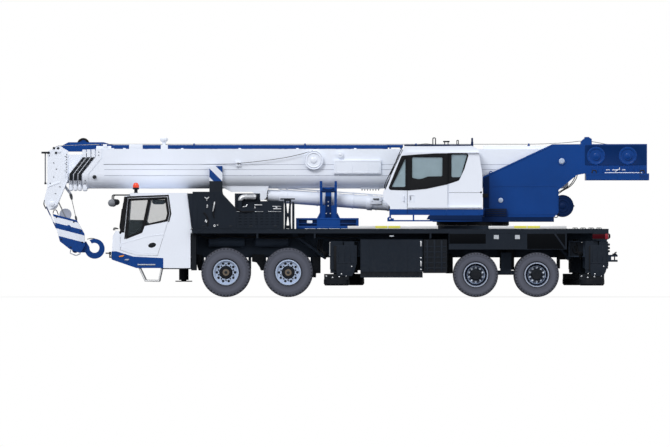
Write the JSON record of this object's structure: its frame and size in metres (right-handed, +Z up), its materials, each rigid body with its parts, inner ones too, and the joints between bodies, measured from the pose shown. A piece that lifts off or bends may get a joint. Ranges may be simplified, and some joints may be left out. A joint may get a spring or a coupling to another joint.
{
  "type": "truck crane",
  "caption": "Truck crane with a telescopic boom over the cab, slewing upper works with its own cab, steered front wheels, twin rear wheels and sliding outriggers.",
  "frame": {"origin": "on the ground, at the middle of the length and width", "axes": "+X toward the rear, +Y to the right side, +Z up"},
  "size_m": [13.68, 2.9728, 3.6],
  "materials": {
    "white_paint": "gloss bluish white",
    "blue_paint": "gloss blue",
    "slate_paint": "satin slate",
    "black_paint": "satin black",
    "black_plastic": "matt",
    "seat_cloth": "woven",
    "silver_metal": "bright",
    "dark_steel": "oiled",
    "clear_glass": "clear",
    "lamp_lens": "clear lens",
    "tyre": "matt rubber",
    "wheel_silver": "silver blue",
    "wheel_dark": "dark grey"
  },
  "bodies": {
    "carrier": {"chassis_frame": "slate_paint", "deck": "slate_paint", "engine": "silver_metal", "engine_hood": "slate_paint", "cab_shell": "white_paint", "cab_glass": "clear_glass", "cab_interior": "black_plastic", "front_bumper": "blue_paint", "lamps": "lamp_lens", "mirrors": "black_paint", "boom_supports": "blue_paint", "side_boxes": "slate_paint", "axles": "black_paint"},
    "front_jack": {"front_jack": "black_paint"},
    "superstructure": {"turntable": "blue_paint", "counterweight": "blue_paint", "winches": "dark_steel", "operator_cab": "white_paint", "operator_glass": "clear_glass", "operator_seat": "seat_cloth"},
    "operator_door": {"operator_door": "white_paint"},
    "boom_base": {"boom_base": "white_paint", "fly_jib": "blue_paint"},
    "lift_barrel": {"lift_barrel": "white_paint"},
    "lift_rod": {"lift_rod": "silver_metal"},
    "hook_block": {"hook_block": "blue_paint"},
    "boom_2": {"boom_2": "white_paint"},
    "boom_3": {"boom_3": "white_paint"},
    "boom_4": {"boom_4": "white_paint"},
    "boom_head": {"boom_head": "white_paint"},
    "door_left": {"door_left": "white_paint"},
    "door_right": {"door_right": "white_paint"},
    "wheel_1_left": {"tyre_1_left": "tyre", "rim_1_left": "wheel_silver"},
    "knuckle_1_left": {"knuckle_1_left": "dark_steel"},
    "wheel_1_right": {"tyre_1_right": "tyre", "rim_1_right": "wheel_silver"},
    "knuckle_1_right": {"knuckle_1_right": "dark_steel"},
    "wheel_2_left": {"tyre_2_left": "tyre", "rim_2_left": "wheel_silver"},
    "knuckle_2_left": {"knuckle_2_left": "dark_steel"},
    "wheel_2_right": {"tyre_2_right": "tyre", "rim_2_right": "wheel_silver"},
    "knuckle_2_right": {"knuckle_2_right": "dark_steel"},
    "wheel_3_left": {"tyre_3_left": "tyre", "rim_3_left": "wheel_dark"},
    "wheel_3_right": {"tyre_3_right": "tyre", "rim_3_right": "wheel_dark"},
    "wheel_4_left": {"tyre_4_left": "tyre", "rim_4_left": "wheel_dark"},
    "wheel_4_right": {"tyre_4_right": "tyre", "rim_4_right": "wheel_dark"},
    "beam_front_left": {"beam_front_left": "slate_paint"},
    "jack_front_left": {"jack_front_left": "black_paint"},
    "beam_front_right": {"beam_front_right": "slate_paint"},
    "jack_front_right": {"jack_front_right": "black_paint"},
    "beam_rear_left": {"beam_rear_left": "slate_paint"},
    "jack_rear_left": {"jack_rear_left": "black_paint"},
    "beam_rear_right": {"beam_rear_right": "slate_paint"},
    "jack_rear_right": {"jack_rear_right": "black_paint"}
  },
  "joints": [
    {"name": "steer_1_left", "type": "hinge", "parent": "carrier", "child": "knuckle_1_left", "pos_m": [-2.675, -1, 0.555], "axis": [0, 0, 1], "range_deg": [-35, 35]},
    {"name": "steer_1_right", "type": "hinge", "parent": "carrier", "child": "knuckle_1_right", "pos_m": [-2.675, 1, 0.555], "axis": [0, 0, 1], "range_deg": [-35, 35]},
    {"name": "steer_2_left", "type": "hinge", "parent": "carrier", "child": "knuckle_2_left", "pos_m": [-1.276, -1, 0.555], "axis": [0, 0, 1], "range_deg": [-25, 25]},
    {"name": "steer_2_right", "type": "hinge", "parent": "carrier", "child": "knuckle_2_right", "pos_m": [-1.276, 1, 0.555], "axis": [0, 0, 1], "range_deg": [-25, 25]},
    {"name": "roll_1_left", "type": "hinge", "parent": "knuckle_1_left", "child": "wheel_1_left", "pos_m": [-2.675, -1.22, 0.555], "axis": [0, 1, 0], "continuous": true},
    {"name": "roll_1_right", "type": "hinge", "parent": "knuckle_1_right", "child": "wheel_1_right", "pos_m": [-2.675, 1.22, 0.555], "axis": [0, 1, 0], "continuous": true},
    {"name": "roll_2_left", "type": "hinge", "parent": "knuckle_2_left", "child": "wheel_2_left", "pos_m": [-1.276, -1.22, 0.555], "axis": [0, 1, 0], "continuous": true},
    {"name": "roll_2_right", "type": "hinge", "parent": "knuckle_2_right", "child": "wheel_2_right", "pos_m": [-1.276, 1.22, 0.555], "axis": [0, 1, 0], "continuous": true},
    {"name": "roll_3_left", "type": "hinge", "parent": "carrier", "child": "wheel_3_left", "pos_m": [2.939, -1.22, 0.5025], "axis": [0, 1, 0], "continuous": true},
    {"name": "roll_3_right", "type": "hinge", "parent": "carrier", "child": "wheel_3_right", "pos_m": [2.939, 1.22, 0.5025], "axis": [0, 1, 0], "continuous": true},
    {"name": "roll_4_left", "type": "hinge", "parent": "carrier", "child": "wheel_4_left", "pos_m": [4.307, -1.22, 0.5025], "axis": [0, 1, 0], "continuous": true},
    {"name": "roll_4_right", "type": "hinge", "parent": "carrier", "child": "wheel_4_right", "pos_m": [4.307, 1.22, 0.5025], "axis": [0, 1, 0], "continuous": true},
    {"name": "extend_front_left", "type": "slide", "parent": "carrier", "child": "beam_front_left", "axis": [0, -1, 0], "range_m": [0, 1.65]},
    {"name": "extend_front_right", "type": "slide", "parent": "carrier", "child": "beam_front_right", "axis": [0, 1, 0], "range_m": [0, 1.65]},
    {"name": "extend_rear_left", "type": "slide", "parent": "carrier", "child": "beam_rear_left", "axis": [0, -1, 0], "range_m": [0, 1.65]},
    {"name": "extend_rear_right", "type": "slide", "parent": "carrier", "child": "beam_rear_right", "axis": [0, 1, 0], "range_m": [0, 1.65]},
    {"name": "lower_front_left", "type": "slide", "parent": "beam_front_left", "child": "jack_front_left", "axis": [0, 0, -1], "range_m": [0, 0.6]},
    {"name": "lower_front_right", "type": "slide", "parent": "beam_front_right", "child": "jack_front_right", "axis": [0, 0, -1], "range_m": [0, 0.6]},
    {"name": "lower_rear_left", "type": "slide", "parent": "beam_rear_left", "child": "jack_rear_left", "axis": [0, 0, -1], "range_m": [0, 0.6]},
    {"name": "lower_rear_right", "type": "slide", "parent": "beam_rear_right", "child": "jack_rear_right", "axis": [0, 0, -1], "range_m": [0, 0.6]},
    {"name": "lower_front_jack", "type": "slide", "parent": "carrier", "child": "front_jack", "axis": [0, 0, -1], "range_m": [0, 0.4]},
    {"name": "open_door_left", "type": "hinge", "parent": "carrier", "child": "door_left", "pos_m": [-5.047, -1.25, 1.5], "axis": [0, 0, -1], "range_deg": [0, 70]},
    {"name": "open_door_right", "type": "hinge", "parent": "carrier", "child": "door_right", "pos_m": [-5.047, 1.25, 1.5], "axis": [0, 0, 1], "range_deg": [0, 70]},
    {"name": "slew", "type": "hinge", "parent": "carrier", "child": "superstructure", "pos_m": [2.88, 0, 1.65], "axis": [0, 0, 1], "continuous": true},
    {"name": "open_operator_door", "type": "slide", "parent": "superstructure", "child": "operator_door", "axis": [1, 0, 0], "range_m": [0, 0.75]},
    {"name": "luff", "type": "hinge", "parent": "superstructure", "child": "boom_base", "pos_m": [4.88, 0, 3.058], "axis": [0, 1, 0], "range_deg": [0, 80]},
    {"name": "telescope_1", "type": "slide", "parent": "boom_base", "child": "boom_2", "axis": [-1, 0, 0], "range_m": [0, 7.9]},
    {"name": "telescope_2", "type": "slide", "parent": "boom_2", "child": "boom_3", "axis": [-1, 0, 0], "range_m": [0, 7.9]},
    {"name": "telescope_3", "type": "slide", "parent": "boom_3", "child": "boom_4", "axis": [-1, 0, 0], "range_m": [0, 7.9]},
    {"name": "telescope_4", "type": "slide", "parent": "boom_4", "child": "boom_head", "axis": [-1, 0, 0], "range_m": [0, 7.9]},
    {"name": "lift_swing", "type": "hinge", "parent": "superstructure", "child": "lift_barrel", "pos_m": [2.475, 0, 1.99], "axis": [0, 1, 0], "range_deg": [0, 90]},
    {"name": "lift_stroke", "type": "slide", "parent": "lift_barrel", "child": "lift_rod", "axis": [-0.9975, 0, 0.071], "range_m": [0, 3.25]},
    {"name": "hook_swing", "type": "hinge", "parent": "boom_head", "child": "hook_block", "pos_m": [-6.6, 0, 2.1], "axis": [0, 1, 0], "range_deg": [-60, 0]}
  ],
  "couplings": [
    {"joint": "steer_1_right", "follows": "steer_1_left", "ratio": 1},
    {"joint": "steer_2_left", "follows": "steer_1_left", "ratio": 0.7},
    {"joint": "steer_2_right", "follows": "steer_1_left", "ratio": 0.7},
    {"joint": "lift_swing", "follows": "luff", "ratio": 1.1198},
    {"joint": "lift_stroke", "follows": "luff", "m_per_rad": 2.3227},
    {"joint": "hook_swing", "follows": "luff", "ratio": -0.58},
    {"joint": "telescope_2", "follows": "telescope_1", "ratio": 1},
    {"joint": "telescope_3", "follows": "telescope_1", "ratio": 1},
    {"joint": "telescope_4", "follows": "telescope_1", "ratio": 1}
  ]
}
